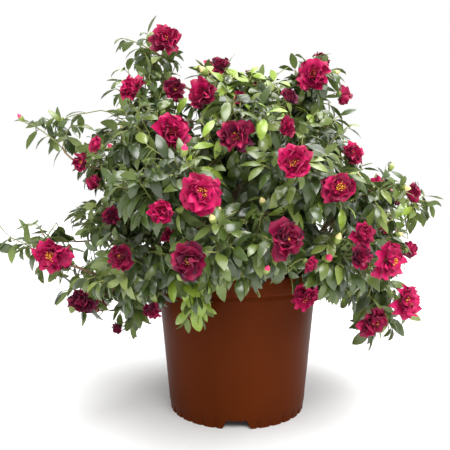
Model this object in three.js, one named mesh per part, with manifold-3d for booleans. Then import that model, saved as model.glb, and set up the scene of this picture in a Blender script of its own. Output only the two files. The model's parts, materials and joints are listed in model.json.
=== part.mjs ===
// A camellia shrub in its round nursery pot, in millimetres.
// +Z is up and -Y is the front. The origin is on the pot's axis, on the surface that the pot stands on.
// The pot is one moulded shell round a plug of potting mix. A short stem rises from the mix and forks into
// boughs, and each bough ends where it enters one of the masses of foliage that make the crown.
import * as THREE from "three";
import { mergeVertices } from "three/addons/utils/BufferGeometryUtils.js";
import Module from "manifold-3d";

// ---- driving dimensions ----
const POT_HEIGHT = 241;
const HEEL_RADIUS = 117.5; // outside, on the ground
const WALL_DRAFT = 0.097; // outward run for each millimetre of height
const WALL = 2.6;
const FLOOR_HEIGHT = 14; // the floor stands this far above the ground, on the heel
const LIP_HEIGHT = 27;
const LIP_STEP = 2.6;
const LIP_ROUND = 1.2;
const LIP_DRAFT = 0.039; // outward run of the rim band for each millimetre of its height
const FLUTES = 32;
const FLUTE_DEPTH = 1.8;
const NOTCHES = 4;
const NOTCH_WIDTH_LOW = 52;
const NOTCH_WIDTH_HIGH = 30;
const NOTCH_CUT = 40; // how far a notch's cut reaches along the radius, half of it each side of the heel
const PAST_EDGE = 2; // how far a cut runs on past the edge that it opens
const NEAR = 0.5; // points this close to an edge count as on it

const SOIL_LEVEL = 212;
const SOIL_MOUND = 5; // how far the potting mix drops from the stem to the wall
const SOIL_CROWN_RADIUS = 33; // the level middle of the mound
const SOIL_SHOULDER = [0.6, 0.7]; // a point on the mound: share of the radius, share of the mound's height
const SOIL_SEGMENTS = 32;
const FIT_GAP = 0.4; // clearance between pieces that touch

const STEM_HEIGHT = 92;
const STEM_FOOT_RADIUS = 15;
const STEM_TOP_RADIUS = 10;
const STEM_LEAN = [-4, -6]; // how far the fork stands off the axis
const STEM_SIDES = 12;
const STEM_STEPS = 5;

const CORE_CENTRE = new THREE.Vector3(-5, 0, 322); // the open space that the boughs cross
const CORE_RADII = new THREE.Vector3(84, 78, 122);
const MASS_GAP = 3; // between neighbouring masses of foliage
const POT_CLEARANCE = 6; // between foliage and the pot
const ENVELOPE_SEGMENTS = 48;
const SMALL_MASS = 50; // masses of a smaller mean radius are made with fewer faces
const UNEVEN = 0.18; // how far a mass swells and dips, as a share of its radius
const BROAD_WAVES = [2.6, 2.9]; // how fast the broad swellings run over a mass
const SMALL_WAVES = [5.3, 4.7, 6.1]; // and the small ones
const WAVE_SHIFTS = [1.7, 2.3, 0.9]; // sets the waves differently on each mass
const BROAD_SHARE = 0.7;
const WAVE_SINK = 0.25; // keeps the mean size of a mass from growing

// ---- the masses of foliage ----
// Each is [name, azimuth, reach, height, [out, across, up], rise]: azimuth in degrees from the front towards
// the right, reach from the pot's axis, and the mass's half sizes along its own outward line, across it and
// up. Rise tips the outward line above the level, in degrees.
const HANGING = [
  ["foliage_hanging_right", 80, 238, 190, [60, 64, 62], -10],
  ["foliage_hanging_left", -70, 196, 182, [36, 44, 46], -30],
  ["foliage_hanging_front", -21, 178, 220, [24, 26, 46], -15],
];
const LOW = [
  ["foliage_low_front", 0, 226, 306, [100, 104, 62], 0],
  ["foliage_low_front_right", 44, 212, 272, [84, 93, 70], -5],
  ["foliage_low_right", 87, 240, 286, [72, 74, 60], 0],
  ["foliage_low_back_right", 130, 222, 252, [88, 102, 70], -5],
  ["foliage_low_back", 177, 232, 262, [96, 102, 68], -5],
  ["foliage_low_back_left", -135, 222, 250, [88, 102, 68], -5],
  ["foliage_low_left", -84, 252, 222, [66, 68, 54], -8],
  ["foliage_low_front_left", -46, 204, 262, [82, 91, 66], -5],
];
const MIDDLE = [
  ["foliage_middle_front", -24, 228, 374, [98, 98, 73], 0],
  ["foliage_middle_front_right", 22, 222, 388, [96, 98, 70], 5],
  ["foliage_middle_right", 66, 222, 364, [82, 84, 60], 5],
  ["foliage_middle_far_right", 100, 236, 350, [70, 76, 46], 3],
  ["foliage_middle_back_right", 146, 232, 352, [92, 104, 75], 8],
  ["foliage_middle_back", -168, 230, 360, [98, 100, 73], 8],
  ["foliage_middle_back_left", -124, 216, 346, [86, 96, 68], 8],
  ["foliage_middle_left", -80, 216, 332, [78, 78, 62], 0],
];
const UPPER = [
  ["foliage_upper_front", 0, 180, 448, [88, 95, 72], 15],
  ["foliage_upper_right", 52, 160, 456, [74, 76, 73], 20],
  ["foliage_upper_back_right", 110, 146, 452, [70, 84, 66], 20],
  ["foliage_upper_back", 165, 190, 450, [90, 100, 79], 25],
  ["foliage_upper_back_left", -136, 188, 446, [86, 98, 77], 25],
  ["foliage_upper_left", -88, 224, 430, [72, 76, 62], 10],
  ["foliage_upper_front_left", -46, 186, 452, [84, 89, 73], 20],
];
const HIGH = [
  ["foliage_high_front", -2, 100, 518, [78, 98, 56], 25],
  ["foliage_high_right", 80, 124, 556, [68, 66, 60], 35],
  ["foliage_high_back", 165, 112, 542, [80, 94, 58], 35],
  ["foliage_high_middle", -60, 14, 552, [84, 70, 50], 0],
  ["foliage_high_left", -84, 156, 540, [76, 76, 60], 35],
];
const TIPS = [
  ["foliage_tip_top", -90, 152, 624, [60, 48, 46], 10],
  ["foliage_tip_far_left", -82, 314, 490, [70, 30, 24], 5],
  ["foliage_tip_left", -79, 330, 284, [66, 46, 42], 0],
  ["foliage_tip_right", 100, 334, 350, [62, 42, 42], 5],
];
const MASS_TABLE = [...HANGING, ...LOW, ...MIDDLE, ...UPPER, ...HIGH, ...TIPS];

// ---- the boughs ----
// Each is [name, where on the stem it starts (0 foot, 1 fork), the mass it enters, foot radius, lift]. Lift
// is how far the bough's middle arches above the straight line, as a share of its length.
const BOUGH_TABLE = [
  ["bough_top", 1.0, "foliage_high_middle", 7.5, 0.02],
  ["bough_high_front", 0.98, "foliage_high_front", 7.5, 0.03],
  ["bough_high_back", 0.98, "foliage_high_back", 7.0, 0.05],
  ["bough_high_left", 0.96, "foliage_high_left", 7.0, 0.06],
  ["bough_high_right", 0.96, "foliage_high_right", 7.0, 0.06],
  ["bough_upper_front", 0.88, "foliage_upper_front", 6.0, 0.1],
  ["bough_upper_left", 0.88, "foliage_upper_left", 6.5, 0.12],
  ["bough_back_left", 0.82, "foliage_upper_back_left", 6.5, 0.12],
  ["bough_back_right", 0.82, "foliage_middle_back_right", 6.5, 0.16],
  ["bough_front_left", 0.72, "foliage_middle_front", 5.5, 0.16],
  ["bough_front_right", 0.72, "foliage_middle_front_right", 5.5, 0.16],
  ["bough_left", 0.66, "foliage_middle_left", 6.0, 0.2],
  ["bough_right", 0.66, "foliage_low_right", 6.0, 0.2],
  ["bough_back", 0.62, "foliage_low_back", 5.5, 0.2],
];
const BOUGH_TAPER = 0.55; // tip radius over foot radius
const BOUGH_CREST = 0.45; // where along its length a bough arches most
const BOUGH_SIDES = 7;
const BOUGH_STEPS = 5;

// ---- colours ----
const FINISH = {
  pot: { color: 0x5f3019, roughness: 0.45, metalness: 0 },
  soil: { color: 0x2e2119, roughness: 0.95, metalness: 0 },
  bark: { color: 0x6a5a48, roughness: 0.85, metalness: 0 },
  foliage: { color: 0x3c5a2a, roughness: 0.5, metalness: 0 },
};

const wasm = await Module();
wasm.setup();

// ---- helpers ----
function materialOf(name) {
  return new THREE.MeshStandardMaterial(FINISH[name]);
}

// A closed geometry as a solid that can be cut.
function solidOf(geometry) {
  const bare = geometry.clone();
  bare.deleteAttribute("normal");
  bare.deleteAttribute("uv");
  const merged = mergeVertices(bare, 1e-3);
  return new wasm.Manifold(
    new wasm.Mesh({
      numProp: 3,
      vertProperties: merged.getAttribute("position").array,
      triVerts: new Uint32Array(merged.index.array),
    }),
  );
}

function geometryOf(solid) {
  const cut = solid.getMesh();
  const geometry = new THREE.BufferGeometry();
  geometry.setAttribute("position", new THREE.BufferAttribute(cut.vertProperties, 3));
  geometry.setIndex(new THREE.BufferAttribute(cut.triVerts, 1));
  return geometry;
}

// The body of a cut solid that scores highest.
function bestBody(solid, score) {
  const bodies = solid.decompose();
  return bodies.reduce((best, body) => (score(body) > score(best) ? body : best));
}

// Moves every vertex of a geometry to where move puts it.
function reshape(geometry, move) {
  const at = geometry.getAttribute("position");
  const point = new THREE.Vector3();
  for (let i = 0; i < at.count; i++) {
    point.fromBufferAttribute(at, i);
    move(point);
    at.setXYZ(i, point.x, point.y, point.z);
  }
  return geometry;
}

// Turns a profile of [radius, height] pairs about the Z axis.
function turned(profile, segments) {
  const points = profile.map(([r, z]) => new THREE.Vector2(r, z));
  return new THREE.LatheGeometry(points, segments).rotateX(Math.PI / 2);
}

// ---- the pot ----
const lipBase = POT_HEIGHT - LIP_HEIGHT;
const outerRadius = (z) => HEEL_RADIUS + WALL_DRAFT * z;
const innerRadius = (z) => outerRadius(z) - WALL;

function potGeometry() {
  const floorTop = FLOOR_HEIGHT + WALL;
  const lip = outerRadius(lipBase) + LIP_STEP;
  const lipTop = lip + LIP_DRAFT * LIP_HEIGHT;
  const profile = [
    [0, FLOOR_HEIGHT],
    [innerRadius(FLOOR_HEIGHT), FLOOR_HEIGHT],
    [innerRadius(0), 0],
    [outerRadius(0), 0],
    [outerRadius(FLOOR_HEIGHT), FLOOR_HEIGHT],
    [outerRadius(lipBase), lipBase],
    [lip, lipBase + LIP_STEP / 2],
    [lipTop, POT_HEIGHT - LIP_ROUND],
    [lipTop - LIP_ROUND, POT_HEIGHT],
    [innerRadius(POT_HEIGHT) + LIP_ROUND, POT_HEIGHT],
    [innerRadius(POT_HEIGHT - LIP_ROUND), POT_HEIGHT - LIP_ROUND],
    [innerRadius(floorTop), floorTop],
    [0, floorTop],
  ];
  const shell = turned(profile, FLUTES * 2);
  // The heel is fluted: every other line of points on its outer foot is pressed in.
  const halfFlute = Math.PI / FLUTES;
  reshape(shell, (p) => {
    const radius = Math.hypot(p.x, p.y);
    const onFoot = p.z < NEAR && radius > outerRadius(0) - NEAR;
    const line = Math.round(Math.atan2(p.y, p.x) / halfFlute);
    if (onFoot && line % 2 !== 0) {
      const pressed = (radius - FLUTE_DEPTH) / radius;
      p.x *= pressed;
      p.y *= pressed;
    }
  });
  let pot = solidOf(shell);
  for (let i = 0; i < NOTCHES; i++) {
    pot = pot.subtract(notchSolid((i / NOTCHES) * 2 * Math.PI));
  }
  return geometryOf(pot);
}

// A wedge that cuts one opening through the heel, narrower at its top.
function notchSolid(turn) {
  const outline = new THREE.Shape();
  outline.moveTo(-NOTCH_WIDTH_LOW / 2, -PAST_EDGE);
  outline.lineTo(NOTCH_WIDTH_LOW / 2, -PAST_EDGE);
  outline.lineTo(NOTCH_WIDTH_HIGH / 2, FLOOR_HEIGHT - FIT_GAP);
  outline.lineTo(-NOTCH_WIDTH_HIGH / 2, FLOOR_HEIGHT - FIT_GAP);
  outline.closePath();
  const wedge = new THREE.ExtrudeGeometry(outline, { depth: NOTCH_CUT, bevelEnabled: false, steps: 1 });
  wedge.rotateX(Math.PI / 2).translate(0, -HEEL_RADIUS + NOTCH_CUT / 2, 0).rotateZ(turn);
  return solidOf(wedge);
}

// ---- the potting mix ----
function soilGeometry() {
  const floorTop = FLOOR_HEIGHT + WALL + FIT_GAP;
  const edge = SOIL_LEVEL - SOIL_MOUND;
  const profile = [
    [0, floorTop],
    [innerRadius(floorTop) - FIT_GAP, floorTop],
    [innerRadius(edge) - FIT_GAP, edge],
    [innerRadius(edge) * SOIL_SHOULDER[0], edge + SOIL_MOUND * SOIL_SHOULDER[1]],
    [SOIL_CROWN_RADIUS, SOIL_LEVEL],
    [0, SOIL_LEVEL],
  ];
  return turned(profile, SOIL_SEGMENTS);
}

// ---- limbs ----
// A closed tapering rod along a curve, with radiusAt giving its radius from 0 at the foot to 1 at the tip.
// Grow makes it larger by that much all over, its two ends included.
function limbGeometry(curve, radiusAt, sides, steps, grow = 0) {
  const frames = curve.computeFrenetFrames(steps);
  return reshape(new THREE.CylinderGeometry(1, 1, 1, sides, steps), (p) => {
    const step = Math.round((p.y + 0.5) * steps);
    const radius = radiusAt(step / steps) + grow;
    const pastEnd = step === 0 ? -grow : step === steps ? grow : 0;
    const across = frames.normals[step].clone().multiplyScalar(p.x * radius);
    const along = frames.binormals[step].clone().multiplyScalar(-p.z * radius);
    p.copy(curve.getPointAt(step / steps)).add(across).add(along);
    p.addScaledVector(frames.tangents[step], pastEnd);
  });
}

const stemCurve = new THREE.QuadraticBezierCurve3(
  new THREE.Vector3(0, 0, SOIL_LEVEL + FIT_GAP),
  new THREE.Vector3(0, 0, SOIL_LEVEL + STEM_HEIGHT / 2),
  new THREE.Vector3(STEM_LEAN[0], STEM_LEAN[1], SOIL_LEVEL + STEM_HEIGHT),
);

function stemRadius(t) {
  const flare = (1 - t) ** 3;
  return STEM_TOP_RADIUS + (STEM_FOOT_RADIUS - STEM_TOP_RADIUS) * flare;
}

function boughCurve(start, mass, lift) {
  const from = stemCurve.getPointAt(start);
  const to = mass.centre;
  const middle = from.clone().lerp(to, BOUGH_CREST);
  middle.z += from.distanceTo(to) * lift;
  return new THREE.QuadraticBezierCurve3(from, middle, to);
}

// ---- foliage ----
function massFrom([name, azimuth, reach, height, size, rise]) {
  const turn = THREE.MathUtils.degToRad(azimuth);
  const tip = THREE.MathUtils.degToRad(rise);
  const level = new THREE.Vector3(Math.sin(turn), -Math.cos(turn), 0);
  const up = new THREE.Vector3(0, 0, 1);
  const out = level.clone().multiplyScalar(Math.cos(tip)).addScaledVector(up, Math.sin(tip));
  const across = new THREE.Vector3().crossVectors(up, level);
  return {
    name,
    centre: level.clone().multiplyScalar(reach).setZ(height),
    axes: [out, across, new THREE.Vector3().crossVectors(out, across)],
    size,
    radius: (size[0] + size[1] + size[2]) / 3,
    seed: azimuth * 0.7 + height * 0.13,
  };
}

// How far a mass swells in one direction: a few broad waves, different on each mass.
function swelling(mass, direction) {
  const [a, b, c] = mass.axes.map((axis) => axis.dot(direction));
  const s = mass.seed;
  const [first, second, third] = WAVE_SHIFTS.map((shift) => shift * s);
  const broad = Math.sin(BROAD_WAVES[0] * a + s) * Math.cos(BROAD_WAVES[1] * b + first);
  const ripple = Math.sin(SMALL_WAVES[0] * c + second) * Math.cos(SMALL_WAVES[1] * a - s);
  const small = ripple + Math.sin(SMALL_WAVES[2] * b + third);
  return 1 + UNEVEN * (BROAD_SHARE * broad + (1 - BROAD_SHARE) * small - WAVE_SINK);
}

// The distance from a mass's centre to its own ellipsoid, swollen, in one direction.
function ownReach(mass, direction) {
  const squared = mass.axes.reduce((sum, axis, i) => sum + (axis.dot(direction) / mass.size[i]) ** 2, 0);
  return swelling(mass, direction) / Math.sqrt(squared);
}

// The distance to the plane that parts a mass from a neighbour, nearer to the smaller of the two.
function neighbourReach(mass, other, direction) {
  const apart = other.centre.clone().sub(mass.centre);
  const distance = apart.length();
  const facing = apart.dot(direction) / distance;
  if (facing <= 0) return Infinity;
  const share = (distance ** 2 + mass.radius ** 2 - other.radius ** 2) / (2 * distance);
  return (share - MASS_GAP / 2) / facing;
}

// The distance to the open core of the crown, where the ray meets it.
function coreReach(mass, direction) {
  const from = mass.centre.clone().sub(CORE_CENTRE).divide(CORE_RADII);
  const along = direction.clone().divide(CORE_RADII);
  const a = along.lengthSq();
  const b = from.dot(along);
  const c = from.lengthSq() - 1;
  const under = b * b - a * c;
  if (b >= 0 || under <= 0) return Infinity;
  return (-b - Math.sqrt(under)) / a;
}

function massGeometry(mass, masses, grow = 0) {
  const detail = mass.radius > SMALL_MASS ? 2 : 1;
  const others = masses.filter((other) => other !== mass);
  return reshape(new THREE.IcosahedronGeometry(1, detail), (p) => {
    const direction = p.clone().normalize();
    const reach = Math.min(
      ownReach(mass, direction),
      coreReach(mass, direction),
      ...others.map((other) => neighbourReach(mass, other, direction)),
    );
    p.copy(mass.centre).addScaledVector(direction, reach + grow);
  });
}

// ---- assembly ----
const shrub = new THREE.Group();
shrub.name = "camellia_shrub";

function addPiece(name, geometry, finish) {
  const piece = new THREE.Mesh(geometry, materialOf(finish));
  piece.name = name;
  shrub.add(piece);
}

addPiece("pot", potGeometry(), "pot");
addPiece("potting_mix", soilGeometry(), "soil");

const stemShape = (grow) => solidOf(limbGeometry(stemCurve, stemRadius, STEM_SIDES, STEM_STEPS, grow));
addPiece("stem", geometryOf(stemShape(0)), "bark");

// Foliage keeps clear of the pot: a turned envelope of it is cut from the low masses.
const potEnvelope = solidOf(
  turned(
    [
      [0, 0],
      [outerRadius(0) + POT_CLEARANCE, 0],
      [outerRadius(POT_HEIGHT) + LIP_STEP + POT_CLEARANCE, POT_HEIGHT + POT_CLEARANCE],
      [0, POT_HEIGHT + POT_CLEARANCE],
    ],
    ENVELOPE_SEGMENTS,
  ),
);
const masses = MASS_TABLE.map(massFrom);
const volumeOf = (body) => body.volume();
const grownMasses = [];
for (const mass of masses) {
  const whole = solidOf(massGeometry(mass, masses)).subtract(potEnvelope);
  addPiece(mass.name, geometryOf(bestBody(whole, volumeOf)), "foliage");
  grownMasses.push(solidOf(massGeometry(mass, masses, FIT_GAP * 2)));
}

// Boughs: each runs from the stem to its mass, and is cut back from the stem, from the boughs before it and
// from every mass, so that it ends at the surface of the mass it enters.
const inTheWay = [stemShape(FIT_GAP), ...grownMasses];
for (const [name, start, target, footRadius, lift] of BOUGH_TABLE) {
  const mass = masses.find((m) => m.name === target);
  const curve = boughCurve(start, mass, lift);
  const radiusAt = (t) => footRadius * (1 - (1 - BOUGH_TAPER) * t);
  const shape = (grow) => solidOf(limbGeometry(curve, radiusAt, BOUGH_SIDES, BOUGH_STEPS, grow));
  const cut = inTheWay.reduce((left, other) => left.subtract(other), shape(0));
  addPiece(name, geometryOf(bestBody(cut, volumeOf)), "bark");
  inTheWay.push(shape(FIT_GAP));
}

export default shrub;
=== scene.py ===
"""The looks of the camellia in its nursery pot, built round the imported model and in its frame, in metres.

Twigs grow on from the modelled boughs by a seeded branching rule. Leaves, buds and blooms sit on the twigs,
and the masses of foliage in the frame say how far they all reach. The front is -Y.
"""

import json
import math

import bpy
import numpy as np
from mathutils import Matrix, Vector
from mathutils.bvhtree import BVHTree

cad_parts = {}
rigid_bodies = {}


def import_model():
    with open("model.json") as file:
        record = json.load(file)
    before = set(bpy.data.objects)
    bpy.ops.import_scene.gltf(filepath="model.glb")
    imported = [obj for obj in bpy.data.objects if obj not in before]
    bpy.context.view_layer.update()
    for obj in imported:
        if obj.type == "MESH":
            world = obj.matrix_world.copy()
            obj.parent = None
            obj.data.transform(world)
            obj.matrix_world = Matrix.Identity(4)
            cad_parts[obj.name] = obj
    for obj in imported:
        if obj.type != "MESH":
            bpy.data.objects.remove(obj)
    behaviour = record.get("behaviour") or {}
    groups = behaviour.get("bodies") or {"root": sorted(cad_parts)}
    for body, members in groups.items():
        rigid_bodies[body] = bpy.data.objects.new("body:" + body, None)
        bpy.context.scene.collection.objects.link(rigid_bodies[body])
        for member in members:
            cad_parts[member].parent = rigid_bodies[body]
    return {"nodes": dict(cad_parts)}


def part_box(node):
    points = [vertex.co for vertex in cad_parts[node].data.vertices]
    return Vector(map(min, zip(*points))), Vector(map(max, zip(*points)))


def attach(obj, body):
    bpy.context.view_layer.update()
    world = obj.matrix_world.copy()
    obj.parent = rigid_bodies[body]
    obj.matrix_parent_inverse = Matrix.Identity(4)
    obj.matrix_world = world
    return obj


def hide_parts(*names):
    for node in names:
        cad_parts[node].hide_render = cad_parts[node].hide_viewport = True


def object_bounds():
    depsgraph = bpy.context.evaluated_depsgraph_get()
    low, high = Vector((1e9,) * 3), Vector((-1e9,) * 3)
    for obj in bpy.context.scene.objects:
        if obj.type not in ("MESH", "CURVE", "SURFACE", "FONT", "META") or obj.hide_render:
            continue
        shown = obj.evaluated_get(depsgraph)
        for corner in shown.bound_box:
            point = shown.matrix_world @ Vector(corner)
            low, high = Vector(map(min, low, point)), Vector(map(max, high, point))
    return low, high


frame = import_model()
cad_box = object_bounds()
rng = np.random.default_rng(21)

MM = 0.001
UP = np.array([0.0, 0.0, 1.0])

# ---- the camera: a little over the pot's rim, looking slightly down ----
CAMERA_PLACE = (0.0, -0.93, 0.353)
CAMERA_YAW = math.radians(1.3)
CAMERA_PITCH = math.radians(-2.1)
LENS = 41.8
SENSOR = 36

# ---- foliage ----
SHOOT_SPACING = 29 * MM
SHOOT_LENGTH = (50 * MM, 100 * MM)
LEAF_LENGTH = (30 * MM, 46 * MM)
LEAF_STEP = 10.5 * MM  # between one leaf and the next along a shoot
GOLDEN_ANGLE = math.radians(137.5)
LEAF_KINDS = 10
LEAVES_LEFT = 0.45  # a shoot that would lose more of its leaves than this leaves it isn't grown
BUD_CHANCE = 0.06
BUD_LENGTH = (11, 19)  # in millimetres
BUD_SHARES = (0.25, 0.45, 0.3)  # of green, cream-tipped and pink-tipped buds
LEAF_THICKNESS = 0.012  # of a leaf's length, at its midrib
COVER_DEPTH = 18 * MM  # a shoot with another mass this near over it counts as hidden
BOUGH_SINK = 6 * MM  # how far under its first point a bough starts, inside the stem
TWIG_TIP_RADIUS = 0.9 * MM
TWIG_MOST_RADIUS = 3.6 * MM
PIPE_POWER = 2.4  # a twig is as thick as the twigs it carries, by this power of the radius
PIECE_LIMIT = 190000  # triangles in one joined piece

# How much of a mass's new growth is young and lime green, where it isn't the usual share.
# How far apart the shoots stand on a mass, where it isn't the usual spacing.
OPEN_MASSES = {
    "foliage_tip_top": 1.7,
    "foliage_tip_far_left": 1.35,
    "foliage_tip_left": 1.3,
    "foliage_tip_right": 1.3,
    "foliage_high_left": 1.3,
    "foliage_high_right": 1.45,
    "foliage_upper_left": 1.2,
    "foliage_low_left": 1.3,
    "foliage_low_right": 1.3,
    "foliage_low_front_right": 1.1,
    "foliage_low_front_left": 1.1,
    "foliage_middle_left": 1.2,
    "foliage_middle_far_right": 1.5,
    "foliage_middle_right": 1.3,
    "foliage_upper_right": 1.4,
    "foliage_high_front": 1.15,
    "foliage_hanging_right": 1.25,
    "foliage_hanging_left": 1.3,
    "foliage_hanging_front": 0.8,
}
YOUNG_SHARE = 0.025
YOUNG_MASSES = {
    "foliage_hanging_front": 0.6,
    "foliage_high_front": 0.3,
    "foliage_tip_right": 0.3,
    "foliage_low_left": 0.15,
    "foliage_high_left": 0.15,
}

# ---- masses besides the back ones that carry blooms of their own, away from the front ----
BACK_BLOOM_MASSES = [
    "foliage_high_middle",
    "foliage_middle_far_right",
    "foliage_low_right",
    "foliage_middle_right",
    "foliage_high_right",
    "foliage_low_left",
]

# ---- blooms that face the front: mass, place on it (right, up), diameter in millimetres, openness ----
FRONT_BLOOMS = [
    ("foliage_tip_top", 0.55, -0.05, 62, 0.6),
    ("foliage_upper_front_left", -0.1, 0.85, 52, 0.7),
    ("foliage_high_left", 0.75, 0.05, 46, 0.7),
    ("foliage_high_front", -0.5, -0.05, 60, 0.5),
    ("foliage_high_front", -0.2, 0.45, 36, 0.5),
    ("foliage_high_front", 0.1, -0.15, 24, 0.3),
    ("foliage_upper_front_left", 0.6, 0.0, 70, 0.7),
    ("foliage_upper_front", 0.0, -0.15, 60, 0.6),
    ("foliage_upper_front_left", -0.85, -0.25, 38, 0.5),
    ("foliage_upper_left", -0.3, -0.15, 42, 0.6),
    ("foliage_middle_left", -0.25, 0.9, 42, 0.5),
    ("foliage_middle_left", 0.2, 0.15, 36, 0.5),
    ("foliage_middle_front", 0.15, -0.45, 46, 0.5),
    ("foliage_low_front_left", 0.6, 0.75, 34, 0.4),
    ("foliage_middle_front", 0.62, -0.1, 60, 0.9),
    ("foliage_tip_left", 0.6, -0.1, 70, 1.0),
    ("foliage_low_left", -0.3, 0.65, 38, 0.4),
    ("foliage_low_front_left", -0.12, 0.35, 50, 0.7),
    ("foliage_low_left", 0.05, -0.35, 60, 0.6),
    ("foliage_low_front_left", 0.3, -0.9, 38, 0.5),
    ("foliage_hanging_left", 0.0, -0.4, 28, 0.3),
    ("foliage_low_front", -0.6, -0.15, 54, 0.7),
    ("foliage_low_front", 0.62, 0.18, 58, 0.75),
    ("foliage_low_front", 0.95, -0.3, 32, 0.4),
    ("foliage_low_front_right", -0.9, -0.85, 52, 0.9),
    ("foliage_high_right", 0.0, 0.0, 62, 0.8),
    ("foliage_upper_front", 0.8, 0.6, 36, 0.4),
    ("foliage_upper_front", 0.85, 0.15, 36, 0.5),
    ("foliage_upper_right", 0.5, -0.5, 46, 0.6),
    ("foliage_middle_front_right", -0.3, 0.2, 54, 0.8),
    ("foliage_middle_front_right", 0.5, -0.25, 52, 0.9),
    ("foliage_low_front_right", 0.1, 0.65, 46, 0.7),
    ("foliage_low_front_right", 0.1, 0.25, 40, 0.5),
    ("foliage_low_front_right", 0.8, 0.1, 58, 1.0),
    ("foliage_hanging_right", 0.5, 0.25, 64, 0.95),
    ("foliage_hanging_right", -0.4, -0.2, 60, 0.8),
]
BACK_BLOOMS = 30

# ---- buds that face the front: mass, place on it (right, up), length in millimetres, kind ----
FRONT_BUDS = [
    ("foliage_tip_far_left", -0.5, 0.2, 14, 2),
    ("foliage_middle_front", 0.4, 0.55, 16, 2),
    ("foliage_middle_front_right", -0.75, -0.4, 15, 1),
    ("foliage_low_front_right", -0.3, 0.55, 17, 1),
    ("foliage_low_front", -0.9, -0.6, 14, 0),
    ("foliage_low_front", 0.4, -0.5, 13, 2),
]
BLOOM_STANDS_OUT = 14 * MM  # from the surface of its mass


# ---- small mathematics ----
def unit(v):
    """Vectors at length 1."""
    return v / np.maximum(np.linalg.norm(v, axis=-1, keepdims=True), 1e-9)


def across(axis, hint):
    """The part of hint that is square to axis, at length 1."""
    return unit(hint - (hint * axis).sum(-1, keepdims=True) * axis)


def waves(p, scale, seed):
    """Smooth uneven numbers from about -1 to 1 at each point, with bumps of about scale metres."""
    total = 0.0
    for k in range(4):
        turn = np.sin(np.array([12.9, 78.2, 37.7]) * (k + 1) + seed)
        total = total + np.sin(p @ (turn / scale * (1.3 + 0.7 * k)) * 3 + seed * (k + 1)) / (1 + 0.5 * k)
    return total / 2.2


# ---- joined pieces ----
class Piece:
    """Collects triangles, with a material number for each, and makes them one object."""

    def __init__(self):
        self.points = []
        self.faces = []
        self.kinds = []
        self.count = 0
        self.total = 0

    def add(self, points, faces, kind):
        """kind is one material number, or one for each face."""
        self.points.append(points)
        self.faces.append(faces + self.count)
        self.kinds.append(np.broadcast_to(kind, len(faces)))
        self.count += len(points)
        self.total += len(faces)

    def build(self, name, materials, slot, replaces=(), smooth=True):
        points = np.concatenate(self.points).astype(np.float32)
        faces = np.concatenate(self.faces).astype(np.int32)
        kinds = np.concatenate(self.kinds).astype(np.int32)
        mesh = bpy.data.meshes.new(name)
        mesh.vertices.add(len(points))
        mesh.vertices.foreach_set("co", points.ravel())
        mesh.loops.add(faces.size)
        mesh.loops.foreach_set("vertex_index", faces.ravel())
        mesh.polygons.add(len(faces))
        mesh.polygons.foreach_set("loop_start", np.arange(0, faces.size, 3, dtype=np.int32))
        mesh.polygons.foreach_set("material_index", kinds)
        mesh.polygons.foreach_set("use_smooth", np.full(len(faces), smooth))
        for material in materials:
            mesh.materials.append(material)
        mesh.update(calc_edges=True)
        mesh.validate()
        piece = bpy.data.objects.new(name, mesh)
        bpy.context.scene.collection.objects.link(piece)
        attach(piece, "root")
        if replaces:
            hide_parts(*replaces)
        return piece


def grid_faces(rows, columns, closed):
    """Triangles of a grid of points, in rows; closed joins each row's last point to its first."""
    r, c = np.meshgrid(np.arange(rows - 1), np.arange(columns if closed else columns - 1), indexing="ij")
    a = r * columns + c
    b = r * columns + (c + 1) % columns
    quads = np.stack([a, b, b + columns, a + columns], -1).reshape(-1, 4)
    return np.concatenate([quads[:, [0, 1, 2]], quads[:, [0, 2, 3]]])


def tube(line, radii, sides, relief=None):
    """A closed tube along a line of points. relief(points) gives how far each point stands out."""
    line = np.asarray(line, float)
    tangents = unit(np.gradient(line, axis=0))
    normals = np.empty_like(line)
    normal = across(tangents[0], np.array([0.31, 0.2, 0.93]))
    for i, tangent in enumerate(tangents):
        normal = across(tangent, normal)
        normals[i] = normal
    sideways = np.cross(tangents, normals)
    angle = np.arange(sides) * 2 * math.pi / sides
    spokes = normals[:, None] * np.cos(angle)[:, None] + sideways[:, None] * np.sin(angle)[:, None]
    rings = line[:, None] + spokes * np.asarray(radii)[:, None, None]
    if relief is not None:
        rings = rings + spokes * relief(rings)[..., None]
    points = np.concatenate([rings.reshape(-1, 3), line[:1], line[-1:]])
    last = (len(line) - 1) * sides
    around = np.arange(sides)
    following = (around + 1) % sides
    foot = np.stack([following, around, np.full(sides, len(points) - 2)], -1)
    tip = np.stack([last + around, last + following, np.full(sides, len(points) - 1)], -1)
    return points, np.concatenate([grid_faces(len(line), sides, True), foot, tip])


def copies(piece, template, faces, kinds, places, frames, sizes):
    """Adds one copy of a template at each place. frames holds each copy's X, Y and Z as columns, and kinds
    its material numbers, a row of them for each copy."""
    moved = np.einsum("nij,kj->nki", frames, template) * sizes[:, None, None] + places[:, None]
    offsets = np.arange(len(places))[:, None, None] * len(template)
    piece.add(moved.reshape(-1, 3), (faces[None] + offsets).reshape(-1, 3), kinds.reshape(-1))


# ---- materials ----
def principled(name, colour, roughness, specular=0.5, sheen=0.0):
    """A plain material: its colour is given as sRGB from 0 to 255."""
    material = bpy.data.materials.new(name)
    material.use_nodes = True
    shader = material.node_tree.nodes["Principled BSDF"]
    shader.inputs["Base Color"].default_value = (*srgb(colour), 1)
    shader.inputs["Roughness"].default_value = roughness
    shader.inputs["Specular IOR Level"].default_value = specular
    shader.inputs["Sheen Weight"].default_value = sheen
    material.diffuse_color = (*srgb(colour), 1)
    return material


def srgb(colour):
    """sRGB from 0 to 255 as linear light."""
    c = np.array(colour, float) / 255
    return tuple(np.where(c <= 0.04045, c / 12.92, ((c + 0.055) / 1.055) ** 2.4))


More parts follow.
